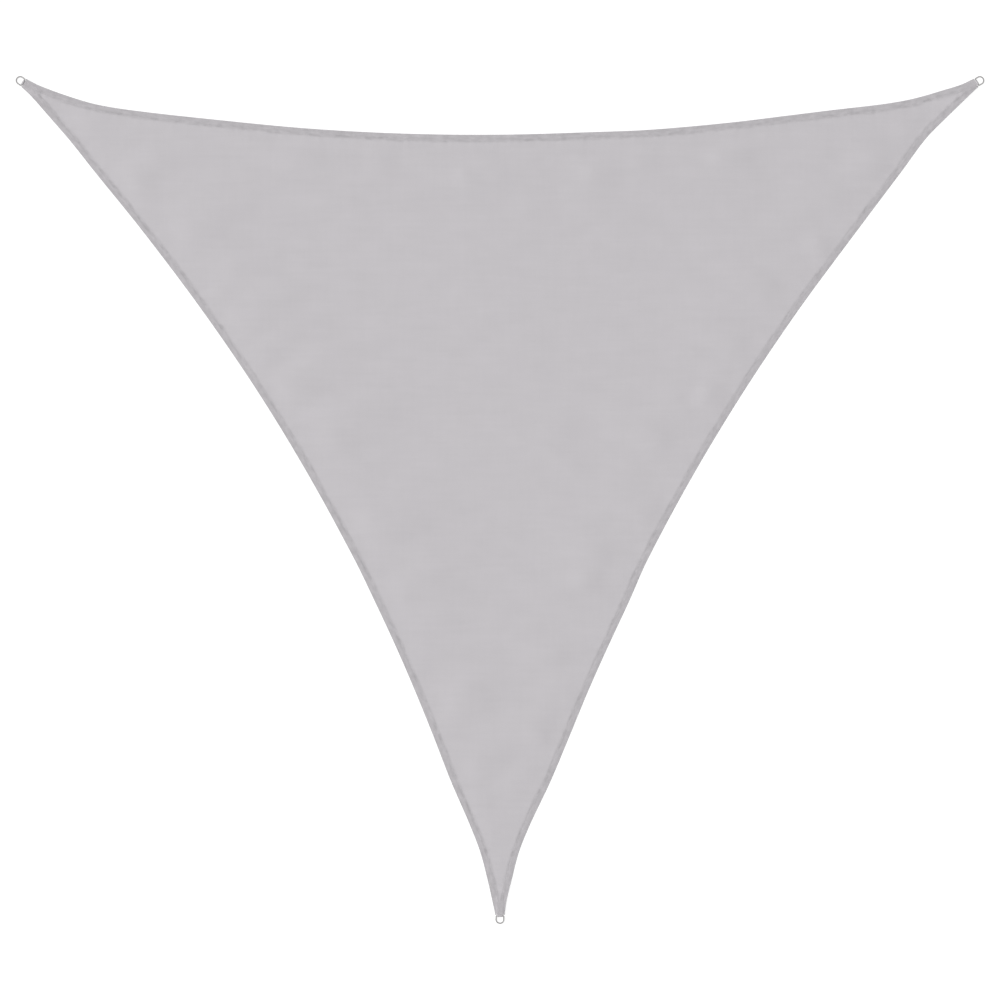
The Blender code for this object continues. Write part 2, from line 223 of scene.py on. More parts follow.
# %% Sizes of the cut
RING_SPAN, RING_REACH = 3.568, 3.119  # between the back rings' centres, and from there to the front ring's
TIP_BACK, TIP_WIDTH = 0.0190, 0.035  # from a ring's centre to the square end of the cloth, and its width
SAIL_MIDDLE = (0.0, 0.5)

# ring: its place in shares of half the span and half the reach, and the way it points, in degrees
CORNERS = {"left": (-1, 1, 147), "right": (1, 1, 31), "front": (0, -1, 270)}

# the back edge runs from left to right, and both sides from the back to the front
EDGES = {"back": ("left", "right"), "left": ("left", "front"), "right": ("right", "front")}

EDGE_CUT = np.array([
    # share along, and millimetres inside the straight line at the back, left and right edge
    (0.02, 19, 7, 8), (0.05, 58, 29, 39), (0.08, 89, 50, 67), (0.12, 112, 72, 84), (0.20, 144, 118, 120),
    (0.30, 178, 163, 162), (0.40, 197, 192, 188), (0.50, 201, 202, 197), (0.60, 191, 195, 188),
    (0.65, 184, 183, 170), (0.70, 170, 168, 155), (0.75, 152, 148, 137), (0.80, 130, 124, 114),
    (0.85, 108, 97, 92), (0.90, 87, 77, 78), (0.93, 68, 60, 63), (0.96, 38, 31, 34), (0.98, 16, 9, 13),
])
EDGE_COLUMN = {"back": 1, "left": 2, "right": 3}


def corner_frame(corner):
    """A ring's centre in plan, and unit vectors outwards and across."""
    x_share, y_share, way = CORNERS[corner]
    centre = np.array([x_share * RING_SPAN / 2, y_share * RING_REACH / 2])
    outwards = np.array([math.cos(math.radians(way)), math.sin(math.radians(way))])
    return centre, outwards, np.array([-outwards[1], outwards[0]])


def tip_point(corner, back, aside):
    """A point of the cloth, back from a corner's square end and aside from its middle line."""
    centre, outwards, across = corner_frame(corner)
    return centre - outwards * (TIP_BACK + back) + across * aside


def in_corner(corner, points):
    """How far points lie back from a corner's square end and aside from its middle line."""
    centre, outwards, across = corner_frame(corner)
    return -(points - centre) @ outwards - TIP_BACK, (points - centre) @ across


def into_sail(place, way):
    """Unit vectors into the sail and square to a way, for one place or for rows of them."""
    square = np.stack([-way[..., 1], way[..., 0]], axis=-1)
    square /= norm(square, axis=-1, keepdims=True)
    return square * -np.sign((square * (place - SAIL_MIDDLE)).sum(axis=-1, keepdims=True))


# %% A smooth curve through the rows
def smooth_through(rows_at, rows_value, at):
    slope = np.empty_like(rows_value)
    slope[1:-1] = (rows_value[2:] - rows_value[:-2]) / (rows_at[2:] - rows_at[:-2])
    slope[0] = (rows_value[1] - rows_value[0]) / (rows_at[1] - rows_at[0])
    slope[-1] = (rows_value[-1] - rows_value[-2]) / (rows_at[-1] - rows_at[-2])
    i = np.clip(np.searchsorted(rows_at, at, side="right") - 1, 0, len(rows_at) - 2)
    step = rows_at[i + 1] - rows_at[i]
    t = (at - rows_at[i]) / step
    return (
        (2 * t**3 - 3 * t**2 + 1) * rows_value[i]
        + (t**3 - 2 * t**2 + t) * slope[i] * step
        + (3 * t**2 - 2 * t**3) * rows_value[i + 1]
        + (t**3 - t**2) * slope[i + 1] * step
    )


def edge_line(edge, points):
    """Evenly spaced points of one edge, from one square end to the other."""
    start, end = EDGES[edge]
    first, last = corner_frame(start)[0], corner_frame(end)[0]
    length = norm(last - first)
    along = (last - first) / length
    inwards = into_sail(first, along)

    def tip_row(corner):
        """Where the edge leaves the square end: at whichever of its two points lies further out."""
        ends = [tip_point(corner, 0, side * TIP_WIDTH / 2) - first for side in (-1, 1)]
        outer = min(ends, key=lambda place: place @ inwards)
        return outer @ along / length, outer @ inwards

    rows = np.vstack([tip_row(start), EDGE_CUT[:, [0, EDGE_COLUMN[edge]]] / (1, 1000), tip_row(end)])
    at = np.linspace(rows[0, 0], rows[-1, 0], points)
    cut = smooth_through(rows[:, 0], rows[:, 1], at)
    return first + np.outer(at * length, along) + np.outer(cut, inwards)


# %% The outline, once round
EDGE_POINTS = 581
END_ASIDES = (0.0142, 0.0112, 0.0038, -0.0038, -0.0112, -0.0142)  # points across a square end

lines = {edge: edge_line(edge, EDGE_POINTS) for edge in EDGES}
way_round = ((lines["back"], "right"), (lines["right"], "front"), (lines["left"][::-1], "left"))
outline = []
for line, corner in way_round:
    outline.extend(line)
    outline.extend(tip_point(corner, 0, aside) for aside in END_ASIDES)
outline = np.array(outline)

walk = norm(np.roll(outline, -1, axis=0) - outline, axis=1)
print(len(outline), "points round the sail,", round(walk.sum(), 2), "m of edge")

# %% [markdown]
# ## The hem, laid round as a strip
#
# A sewn hem is a long narrow strip along the edge, so it is modelled as one: a grid primitive as long as the
# sail is round, whose rows run beside the edge. Each column starts on the outline and ends a little further
# in than the hem's inner border. The narrow corners have no room for that, so there a column stops at the
# corner's middle line, and the rows draw together.

# %% Where each column of the strip ends
STRIP_ROWS = np.array([0, 0.8, 2.0, 3.4, 5.0, 9, 14, 18.2, 20.6, 22, 23.4, 25, 26.6, 31]) / 1000
NEAR_BACK, NEAR_ASIDE = 0.4, 0.15  # how far back and aside a point still counts as near a corner
MIDDLE_GAP = 0.0005  # between a column's end and the middle line of a narrow corner
LEAN, LEAN_LENGTH = 0.024, 0.130  # in a corner the columns lean back like the ribs of a fan
FAN_SPREAD = 0.03  # and those of the square end draw together to this share of their spacing
TINY = 1e-6


def smooth_step(value, low, high):
    """0 below low and 1 above high, with a soft S between."""
    share = np.clip((value - low) / (high - low), 0.0, 1.0)
    return share * share * (3 - 2 * share)


def column_ends(points):
    normals = []
    for run in (points - np.roll(points, 1, axis=0), np.roll(points, -1, axis=0) - points):
        run = run / norm(run, axis=1, keepdims=True)
        normals.append(np.column_stack([run[:, 1], -run[:, 0]]))
    mitre = (normals[0] + normals[1]) / (1 + (normals[0] * normals[1]).sum(axis=1, keepdims=True))
    ends = points + mitre * STRIP_ROWS[-1]
    for corner in CORNERS:
        _, outwards, across = corner_frame(corner)
        back, aside = in_corner(corner, points)
        end_aside = in_corner(corner, ends)[1]
        near = (back < NEAR_BACK) & (np.abs(aside) < NEAR_ASIDE)
        square = near & (back < TINY)
        narrow = near & ~square & (end_aside * np.sign(aside) < MIDDLE_GAP)
        share = (np.abs(aside) - MIDDLE_GAP) / np.maximum(np.abs(aside - end_aside), TINY)
        short = points + (ends - points) * np.clip(share, 0, 1)[:, None]
        ends = np.where(narrow[:, None], short, ends)
        lean = LEAN * (1 - smooth_step(back, 0.0, LEAN_LENGTH)) * (near & ~square)
        ends = ends - np.outer(lean, outwards)
        fan = tip_point(corner, TIP_WIDTH / 2, 0) + np.outer(FAN_SPREAD * aside, across)
        ends = np.where(square[:, None], fan, ends)
    return ends


inner_ends = column_ends(outline)
print("columns are up to", round(1000 * norm(inner_ends - outline, axis=1).max(), 1), "mm long")


# %% Mesh helpers
def mode(name):
    bpy.ops.object.mode_set(mode=name)


def place_vertices(mesh, places):
    mesh.vertices.foreach_set("co", np.asarray(places, dtype=np.float32).ravel())
    mesh.update()


def read_rows(items, what):
    """Three numbers for each vertex or face."""
    found = np.empty(3 * len(items), dtype=np.float32)
    items.foreach_get(what, found)
    return found.reshape(-1, 3).astype(float)


def select_faces(piece, chosen):
    """Only the chosen faces are selected, in edit mode."""
    mode("EDIT")
    bpy.ops.mesh.select_mode(type="FACE")
    bpy.ops.mesh.select_all(action="DESELECT")
    mode("OBJECT")
    piece.data.polygons.foreach_set("select", chosen)
    mode("EDIT")


def draw_out(x, y, z=0):
    """Extrude what is selected."""
    bpy.ops.mesh.extrude_region_move(TRANSFORM_OT_translate={"value": (x, y, z)})


def close_up():
    """Merge points that meet, turn all faces outwards and leave edit mode."""
    bpy.ops.mesh.select_all(action="SELECT")
    bpy.ops.mesh.remove_doubles(threshold=TINY)
    bpy.ops.mesh.normals_make_consistent(inside=False)
    mode("OBJECT")


# %% The strip
columns, strip_rows = len(outline), len(STRIP_ROWS)
bpy.ops.mesh.primitive_grid_add(x_subdivisions=columns, y_subdivisions=strip_rows - 1, size=1)
sail = bpy.context.object
sail.name = "sail_cloth"

flat = read_rows(sail.data.vertices, "co")
column = np.rint((flat[:, 0] + 0.5) * columns).astype(int) % columns
row = np.rint((flat[:, 1] + 0.5) * (strip_rows - 1)).astype(int)
share_in = (STRIP_ROWS[row] / STRIP_ROWS[-1])[:, None]
strip = outline[column] * (1 - share_in) + inner_ends[column] * share_in
place_vertices(sail.data, np.column_stack([strip, np.zeros(len(strip))]))
panel_border = sail.vertex_groups.new(name="panel_border")
panel_border.add([int(i) for i in np.flatnonzero(row == strip_rows - 1)], 1.0, "REPLACE")
print("strip of", columns, "x", strip_rows - 1, "faces")

# %% [markdown]
# ## The panel, filled in and ruled
#
# Inside the hem the cloth is one big face. Folds need points to bend at, so the face is ruled into small
# squares with the bisect tool, once along each line of the weave. The hem is hidden meanwhile, because bisect
# cuts everything that shows.

# %% Fill the strip and rule the panel
CELL, FIRST_LINE = 0.0158, 0.37  # a square's side, and where the first line cuts it
RULED = {(1, 0, 0): 1.80, (0, 1, 0): 1.58}  # across each set of lines, and how far it reaches either way

mode("EDIT")
bpy.ops.mesh.select_mode(type="VERT")
bpy.ops.mesh.select_all(action="SELECT")
bpy.ops.mesh.remove_doubles(threshold=TINY)
bpy.ops.mesh.select_all(action="DESELECT")
bpy.ops.object.vertex_group_set_active(group="panel_border")
bpy.ops.object.vertex_group_select()
bpy.ops.mesh.edge_face_add()
bpy.ops.mesh.hide(unselected=True)
for way, ruled_reach in RULED.items():
    for step in range(int(2 * ruled_reach / CELL)):
        cut = [part * (-ruled_reach + (step + FIRST_LINE) * CELL) for part in way]
        bpy.ops.mesh.select_all(action="SELECT")
        bpy.ops.mesh.bisect(plane_co=cut, plane_no=way, threshold=1e-5)
bpy.ops.mesh.select_all(action="DESELECT")
bpy.ops.mesh.select_face_by_sides(number=4, type="GREATER")
bpy.ops.mesh.quads_convert_to_tris(quad_method="BEAUTY", ngon_method="BEAUTY")
bpy.ops.mesh.reveal(select=False)
mode("OBJECT")
print("ruled into", len(sail.data.polygons), "faces")

# %% Finer faces in the corners
FINE_BACK, FINE_ASIDE = 0.105, 0.1  # how far back and aside from a square end

centres = read_rows(sail.data.polygons, "center")[:, :2]
close = np.zeros(len(centres), dtype=bool)
for corner in CORNERS:
    back, aside = in_corner(corner, centres)
    close |= (back < FINE_BACK) & (np.abs(aside) < FINE_ASIDE)
select_faces(sail, close)
bpy.ops.mesh.subdivide(number_cuts=1, ngon=False)
mode("OBJECT")
print("with finer corners", len(sail.data.polygons), "faces")

# %% [markdown]
# ## Where a point lies on the cloth
#
# Folds, hem and stitching all depend on two lengths: how far a point is from the nearest edge, and how far
# along the hem that place is. Both are measured here, and later stored as a UV map in metres, so that the
# cloth's finish can follow the hem round.

# %% Measure from the edges
AT_ONCE = 4000  # points measured at a time, which keeps the tables small

hem_lines, walked = [], 0.0
for line, _ in way_round:
    walk_at = walked + np.concatenate([[0.0], np.cumsum(norm(np.diff(line, axis=0), axis=1))])
    hem_lines.append((line, walk_at))
    walked = walk_at[-1]


def measured(points):
    """For points in plan: the distance from the nearest edge, and the length along the hem to there."""
    best, along = np.full(len(points), np.inf), np.zeros(len(points))
    for line, walk_at in hem_lines:
        for first in range(0, len(points), AT_ONCE):
            part = slice(first, first + AT_ONCE)
            some = points[part]
            apart = (some[:, None, 0] - line[None, :, 0]) ** 2 + (some[:, None, 1] - line[None, :, 1]) ** 2
            nearest = np.clip(apart.argmin(axis=1), 1, len(line) - 2)
            for a, b in ((nearest - 1, nearest), (nearest, nearest + 1)):
                run = line[b] - line[a]
                share = np.clip(((some - line[a]) * run).sum(axis=1) / (run**2).sum(axis=1), 0, 1)
                away = norm(some - line[a] - run * share[:, None], axis=1)
                closer = away < best[part]
                best[part] = np.where(closer, away, best[part])
                along[part] = np.where(closer, walk_at[a] + (walk_at[b] - walk_at[a]) * share, along[part])
    return best, along


sheet_plan = read_rows(sail.data.vertices, "co")[:, :2]
sheet_from_edge, sheet_along = measured(sheet_plan)
print("no point lies more than", round(sheet_from_edge.max(), 3), "m from an edge")

# %% [markdown]
# ## How the cloth lies
#
# Cut cloth never lies quite flat. A sewn edge is a little shorter than the cloth beside it, so the panel
# stands up in soft puckers just inside the hem. Over the rest run a few low folds, and the creases it got in
# its packet. All of them are listed as rows in millimetres: from where to where a crest runs, how far
# each of its two slopes reaches, and how high it stands. Everywhere else the cloth touches the floor.

# %% Low folds, as in the frame's solid
FOLD_SHARE = 0.6  # the thin cloth lies a little flatter than its solid, whose heights these are
FOLDS = np.array([
    # x1, y1, x2, y2, half width, height
    (-1560, 1390, -1220, 1060, 90, 2.1), (-1300, 1250, -980, 920, 100, 1.8),
    (-1170, 980, -840, 800, 110, 2.4), (-980, 660, -620, 600, 110, 1.8),
    (-800, 400, -440, 340, 120, 2.4), (-640, 200, -440, -160, 110, 2.7),
    (-520, -80, -200, -220, 110, 2.1), (-380, -330, -100, -420, 100, 2.1),
    (-200, -700, 20, -800, 100, 2.4), (-100, -980, -20, -1340, 70, 1.8),
    (1520, 1360, 1200, 1120, 90, 2.1), (1240, 1100, 960, 1000, 100, 2.4),
    (1000, 760, 660, 800, 120, 2.1), (760, 440, 520, 260, 110, 2.7),
    (620, 160, 340, 100, 110, 2.1), (440, -220, 160, -320, 120, 2.7),
    (240, -660, 100, -900, 90, 2.4), (-920, 1300, -500, 1240, 100, 1.8),
    (-340, 1240, 60, 1200, 100, 2.7), (220, 1260, 460, 1160, 110, 2.1),
    (640, 1280, 1000, 1240, 100, 2.4), (-460, 1000, 300, 980, 120, 1.8),
    (-100, 340, 440, 60, 120, 2.4), (-220, 780, 240, 660, 120, 1.5),
]) / 1000
print(len(FOLDS), "folds")

# %% Puckers beside the hem, as places along an edge
PUCKERS = {
    # thousandths along, how far inside the edge, half length, outer reach, inner reach, height
    "left": (
        (71, 105, 110, 70, 240, 2.2), (147, 118, 95, 80, 340, 2.7), (222, 150, 120, 95, 380, 3.3),
        (290, 118, 85, 75, 320, 2.1), (329, 115, 110, 80, 380, 3.0), (370, 105, 60, 70, 300, 1.8),
        (416, 113, 95, 80, 400, 3.7), (479, 170, 120, 110, 420, 4.2), (583, 138, 130, 95, 400, 3.7),
        (652, 135, 90, 90, 340, 3.3), (700, 115, 65, 75, 260, 2.0), (776, 142, 110, 90, 220, 3.5),
        (850, 118, 85, 75, 140, 2.5),
    ),
    "right": (
        (74, 80, 90, 55, 200, 1.7), (125, 95, 90, 70, 280, 2.2), (185, 135, 90, 80, 280, 2.5),
        (297, 158, 85, 80, 320, 2.9), (362, 145, 100, 85, 320, 2.5), (398, 120, 50, 70, 280, 1.8),
        (493, 175, 90, 80, 300, 2.6), (560, 85, 90, 60, 300, 2.3), (616, 200, 90, 100, 260, 3.0),
        (736, 170, 80, 70, 220, 2.4), (814, 115, 80, 70, 200, 3.0), (885, 110, 60, 60, 100, 1.4),
    ),
    "back": (
        (170, 85, 90, 60, 140, 1.4), (290, 90, 110, 65, 160, 1.6), (375, 85, 70, 60, 140, 1.4),
        (650, 85, 70, 60, 140, 1.4), (830, 90, 90, 65, 140, 1.6),
    ),
}
print(sum(len(rows) for rows in PUCKERS.values()), "puckers")

# %% Single swells and hollows, and creases from the packet
CREASES = np.array([
    # x1, y1, x2, y2, reach to the left of that way, reach to the right, height, or depth if negative
    (-125, 1150, -125, 1250, 65, 220, 3.8), (-5, 1165, -5, 1235, 55, 130, 1.4),
    (345, 1165, 345, 1265, 60, 220, 3.2), (815, 1230, 815, 1320, 65, 220, 3.4),
    (250, 655, 735, 420, 100, 70, 0.6), (310, -360, 330, -230, 85, 90, 2.9),
    (262, -810, 288, -690, 70, 30, 1.4), (1140, 896, 1216, 988, 60, 90, 2.6),
    (1073, 938, 1163, 1046, 220, 70, -1.4), (729, 325, 811, 449, 65, 100, 3.0),
    (658, 350, 740, 474, 220, 70, -1.4), (587, 12, 639, 97, 180, 70, -1.0),
    (-110, 325, 360, 95, 45, 22, 1.1), (-80, 262, 240, 170, 30, 14, 0.6),
    (100, 290, 300, 60, 30, 14, 0.6), (-225, 785, 225, 668, 45, 22, 0.8),
    (-740, 1075, -300, 1010, 30, 16, 0.6), (-310, 475, 260, 500, 30, 18, 0.5),
    (-990, 780, -560, 700, 40, 20, 0.7), (690, 1090, 1060, 1035, 35, 18, 0.7),
    (20, 1100, 420, 1150, 35, 20, 0.6), (-480, -60, -160, -130, 35, 18, 0.6),
    (100, -170, 460, -130, 35, 18, 0.7), (40, -985, 130, -1015, 18, 10, 0.9),
    (60, -1030, 115, -1060, 16, 9, 0.7), (-80, -900, 40, -930, 22, 12, 0.6),
]) / 1000
print(len(CREASES), "swells, hollows and creases")


# %% Heights from the rows
def crest(points, x1, y1, x2, y2, left_reach, right_reach, height):
    """A soft crest from one point to another, whose two slopes reach differently far."""
    run = np.array((x2 - x1, y2 - y1))
    length = norm(run)
    away = points - (x1, y1)
    share = away @ run / length**2
    aside = (away[:, 1] * run[0] - away[:, 0] * run[1]) / length
    across = np.clip(np.where(aside > 0, aside / left_reach, -aside / right_reach), 0, 1)
    return height * np.cos(np.pi / 2 * across) ** 2 * np.sin(np.pi * np.clip(share, 0, 1)) ** 1.5


def pucker_crests():
    """Each pucker runs beside its edge, with its inner slope towards the panel."""
    for edge, rows in PUCKERS.items():
        line = lines[edge]
        for share, inside, half_length, outer, inner, height in np.array(rows) / 1000:
            place = int(share * (len(line) - 1))
            run = line[place + 3] - line[place - 3]
            run /= norm(run)
            inwards = into_sail(line[place], run)
            middle = line[place] + inwards * inside
            reaches = (inner, outer) if inwards @ (-run[1], run[0]) > 0 else (outer, inner)
            yield *(middle - run * half_length), *(middle + run * half_length), *reaches, height


def fold_height(points):
    """How far folds, puckers and creases lift the cloth off the floor."""
    folds, puckers = np.zeros((2, len(points)))
    for *ends, half_width, height in FOLDS:
        folds = np.maximum(folds, crest(points, *ends, half_width, half_width, height))
    for pucker in pucker_crests():
        puckers = np.maximum(puckers, crest(points, *pucker))
    return FOLD_SHARE * folds + puckers + sum(crest(points, *crease) for crease in CREASES)


# %% [markdown]
# ## The hem's own shape
#
# The cloth is turned under twice, so the hem is about three times as thick as the panel. From above its inner
# border hardly shows as a step, because the same cloth runs on over it: the step is on the underside. The
# panel comes off the hem at the height of its upper face and sinks to the floor over the next hand's widths,
# so in the photograph there is a bright band inside the left hem and a dark one inside the right hem. The
# outer edge is a rounded turn, both rows of stitching pull a shallow groove into the hem, and between them
# and beside them the layers pucker in small uneven gathers.

# %% Sizes across the hem
CLOTH_THICKNESS = 0.0006
HEM_WIDTH, HEM_THICKNESS, HEM_STEP = 0.025, 0.0017, 0.0016
EDGE_TURN, EDGE_THINNER, EDGE_LIFT = 0.0012, 0.0010, 0.0005  # the rounded turn
SWELL_HEIGHT, SWELL_CREST, SWELL_END = 0.0002, 0.100, 0.500  # beside the hem, the last two from the edge
SEAM_ROWS = (0.0034, 0.0220)  # two rows of stitching, in from the edge
SEAM_GROOVE, SEAM_GROOVE_WIDTH = 0.00030, 0.0012
GATHER_LENGTHS = (0.027, 0.041, 0.066)  # small waves along the hem, of uneven length
GATHER_HEIGHT = 0.00055  # up and down

# from the edge: where folds and gathers grow, where gathers fade, and where they lift both faces of the cloth
FOLDS_GROW, GATHERS_GROW, GATHERS_FADE = (0.020, 0.050), (0.004, 0.012), (0.030, 0.110)
BOTH_FACES = (HEM_WIDTH, 0.035)

# %% Sizes of a tip
BAR_HEIGHT = 0.00445  # of a ring's bar and the webbing's middle
TIP_THICKNESS = 0.0047  # over the webbing's two tails
TIP_LAYERS, TIP_LAYERS_END = 0.0012, (0.030, 0.120)  # more where the hems of two edges lie on each other
BOSS_HALF_WIDTH, BOSS_FOOT = 0.0110, 0.0168
BOSS_LENGTH, BOSS_END, TIP_LIFT_LENGTH = 0.0623, 0.0763, 0.110


# %% Heights of the cloth's two faces
def gathers(along):
    """Uneven small waves along the hem, from -1 to 1."""
    waves = sum(
        np.sin(2 * np.pi * along / length + 1.7 * k + 1.3 * np.sin(along * (2.1 + k)))
        for k, length in enumerate(GATHER_LENGTHS)
    )
    return waves / len(GATHER_LENGTHS)


def cloth_faces(points, from_edge, along):
    """The heights of the cloth's lower and upper face."""
    turned = 1 - smooth_step(from_edge, HEM_WIDTH, HEM_WIDTH + HEM_STEP)
    rounding = 1 - np.sqrt(np.clip(1 - (1 - np.clip(from_edge / EDGE_TURN, 0, 1)) ** 2, 0, 1))
    thickness = CLOTH_THICKNESS + (HEM_THICKNESS - CLOTH_THICKNESS) * turned - EDGE_THINNER * rounding
    swell = SWELL_HEIGHT * smooth_step(from_edge, HEM_WIDTH, SWELL_CREST)
    falling = 1 - smooth_step(from_edge, SWELL_CREST, SWELL_END)
    lower = (HEM_THICKNESS - CLOTH_THICKNESS + swell) * (1 - turned) * falling + EDGE_LIFT * rounding
    lower = lower + fold_height(points) * smooth_step(from_edge, *FOLDS_GROW)
    loose = smooth_step(from_edge, *GATHERS_GROW) * (1 - smooth_step(from_edge, *GATHERS_FADE))
    gather = GATHER_HEIGHT * gathers(along) * loose
    beside = smooth_step(from_edge, *BOTH_FACES)
    groove = sum(SEAM_GROOVE * np.exp(-(((from_edge - at) / SEAM_GROOVE_WIDTH) ** 2)) for at in SEAM_ROWS)
    lower = np.maximum(lower + gather * beside, 0)
    upper = lower + thickness + gather * (1 - beside) - groove
    for corner in CORNERS:
        back, aside = in_corner(corner, points)
        near = (back < BOSS_END + TIP_LIFT_LENGTH) & (np.abs(aside) < 3 * TIP_WIDTH)
        boss = 1 - smooth_step(back, BOSS_LENGTH, BOSS_END)
        boss = boss * (1 - smooth_step(np.abs(aside), BOSS_HALF_WIDTH, BOSS_FOOT))
        base = thickness + TIP_LAYERS * (1 - smooth_step(back, *TIP_LAYERS_END))
        boss_thickness = base + (TIP_THICKNESS - base) * boss
        held_up = 1 - smooth_step(back, BOSS_LENGTH, BOSS_END + TIP_LIFT_LENGTH)
        tip_lower = lower + (BAR_HEIGHT - boss_thickness / 2 - lower) * held_up
        tip_upper = tip_lower + boss_thickness + (upper - lower - thickness) * (1 - boss)
        lower, upper = np.where(near, tip_lower, lower), np.where(near, tip_upper, upper)
    return lower, upper


# %% Two faces from one, and every point at its height
# beside the webbing a square end reaches further out, to just behind the ring's bar
EAR_REACH, EAR_DEPTH = 0.0022, 0.0120  # how far out, and from how far back
EAR_SIDES = (0.0112, 0.0135)  # from the slot's side to where the reach is full

two_faced = sail.modifiers.new("two_faced", "SOLIDIFY")
two_faced.thickness = 0.001
two_faced.offset = -1.0
bpy.ops.object.modifier_apply(modifier=two_faced.name)

places = read_rows(sail.data.vertices, "co")
first, second = np.split(places[:, 2], 2)  # the modifier lists all points of one face, then of the other
lower, upper = cloth_faces(sheet_plan, sheet_from_edge, sheet_along)
places[:, 2] = np.concatenate([upper, lower] if first.mean() > second.mean() else [lower, upper])
for corner in CORNERS:
    back, aside = in_corner(corner, places[:, :2])
    reach = EAR_REACH * smooth_step(np.abs(aside), *EAR_SIDES) * (1 - smooth_step(back, 0.0, EAR_DEPTH))
    places[:, :2] += np.outer(reach, corner_frame(corner)[1])
place_vertices(sail.data, places)
print("the cloth stands up to", round(1000 * lower.max(), 1), "mm off the floor")
print(round(100 * (lower < 0.0003).mean()), "% of its points touch the floor")

# %% [markdown]
# ## A slot for the webbing
#
# At each corner both tails of the webbing run in between the layers of the cloth. The square end is one face
# there, so an inset and an extrusion straight back make the slot, the way a pocket is sewn.

# %% Slots
SLOT_DEPTH, SLOT_WALL = 0.0604, 0.0006

for corner in CORNERS:
    _, outwards, _ = corner_frame(corner)
    back, aside = in_corner(corner, read_rows(sail.data.polygons, "center")[:, :2])
    facing = read_rows(sail.data.polygons, "normal")[:, :2] @ outwards
    end_face = (np.abs(back) < 1e-4) & (np.abs(aside) < BOSS_HALF_WIDTH) & (np.abs(facing) > 0.99)
    select_faces(sail, end_face)
    bpy.ops.mesh.dissolve_faces()
    bpy.ops.mesh.inset(thickness=SLOT_WALL, depth=0.0, use_even_offset=True)
    draw_out(*(-outwards * SLOT_DEPTH))
    mode("OBJECT")
    print(corner, "slot from", int(end_face.sum()), "faces")

mode("EDIT")
bpy.ops.mesh.select_all(action="SELECT")
bpy.ops.mesh.normals_make_consistent(inside=False)
mode("OBJECT")
bpy.ops.object.shade_smooth_by_angle(angle=math.radians(48))
sail.vertex_groups.clear()

# %% The hem's UV map, in metres
from_edge, along = measured(read_rows(sail.data.vertices, "co")[:, :2])
loop_vertex = np.empty(len(sail.data.loops), dtype=np.int32)
sail.data.loops.foreach_get("vertex_index", loop_vertex)
hem_map = sail.data.uv_layers[0]
hem_map.name = "along_hem"
hem_map.data.foreach_set("uv", np.column_stack([along, from_edge])[loop_vertex].astype(np.float32).ravel())
print(len(sail.data.polygons), "faces,", sum(len(p.vertices) - 2 for p in sail.data.polygons), "triangles")

# %% [markdown]
# ## The cloth's finish
#
# The cloth is a plain weave of fine polyester yarn with a thin coating. Three things show in the photograph.
# The hem is a shade darker, because three layers let less light through than one, and small puckers add
# painted shade to it in blotches. Its inner border wanders and is soft, and along it lie dark patches a few
# centimetres long: painted shade where the turned edge is creased under the face. The panel is very
# slightly mottled, in clouds and in long streaks that follow the yarns.
#
# So the colour starts even, and is multiplied by one soft pattern after another. Patterns of the hem read the
# UV map, and those of the panel read the place on the cloth. Up close the yarns themselves show, so two
# crossed wave textures give the weave as a bump, about a yarn each millimetre.

# %% Cloth finish: the hem
PANEL_COLOUR = (0.4925, 0.4746, 0.4936)
HEM_SHADE = 0.122  # how much darker the hem is
CREASE_SHADE = 0.075  # and the painted shade of its creased patches beyond that
# the shade fades about so far from the edge, over so much to either side, and its border wanders by so much
BORDER_AT, BORDER_SOFT, BORDER_WANDER = 0.0275, 0.0070, 0.0035
CREASE_SHADE_START, CREASE_SHADE_END = (0.014, 0.019), (0.024, 0.029)  # the band of the painted crease shade, from the edge

matt = {"Roughness": 0.82, "Sheen Weight": 0.06, "Sheen Roughness": 0.5, "Specular IOR Level": 0.3}
cloth, cloth_shader = new_finish("cloth", PANEL_COLOUR, matt)
on_cloth = add_node(cloth, "TexCoord").outputs["Object"]
on_hem = add_node(cloth, "UVMap", uv_map="along_hem").outputs["UV"]
from_edge_socket = add_node(cloth, "SeparateXYZ", {0: on_hem}).outputs["Y"]

wander = noise_at(cloth, on_hem, (14.0, 20.0, 1.0), 3.0)
wander = tuned(cloth, wander, 0.25, 0.75, -BORDER_WANDER, BORDER_WANDER)
inside = combined(cloth, "ADD", from_edge_socket, wander)
in_hem = tuned(cloth, inside, BORDER_AT - BORDER_SOFT, BORDER_AT + BORDER_SOFT, 1.0, 0.0, "SMOOTHSTEP")
# painted shade: the hem darkens unevenly in blotches, as its small puckers shade it
uneven_hem_shade = noise_at(cloth, on_hem, (30.0, 90.0, 1.0), 3.0, 0.6)
hem_depth = tuned(cloth, uneven_hem_shade, 0.30, 0.70, 0.35 * HEM_SHADE, 1.65 * HEM_SHADE)
hem_dark = combined(cloth, "MULTIPLY", in_hem, hem_depth)

# painted shade: dark patches along the inner seam, where the turned edge is creased under the face
crease_shade = noise_at(cloth, on_hem, (21.0, 30.0, 1.0), noise_dimensions="2D")
crease_shade = tuned(cloth, crease_shade, 0.54, 0.66, 0.0, CREASE_SHADE, "SMOOTHSTEP")
crease_shade = combined(cloth, "MULTIPLY", crease_shade, tuned(cloth, inside, *CREASE_SHADE_START, 0.0, 1.0, "SMOOTHSTEP"))
crease_shade = combined(cloth, "MULTIPLY", crease_shade, tuned(cloth, inside, *CREASE_SHADE_END, 1.0, 0.0, "SMOOTHSTEP"))
hem_light = combined(cloth, "SUBTRACT", 1.0, combined(cloth, "ADD", hem_dark, crease_shade))
print("the hem is", round(1 - HEM_SHADE, 3), "as bright as the panel")

# %% Cloth finish: the panel
MOTTLING = 0.036  # how much lighter and darker the panel gets

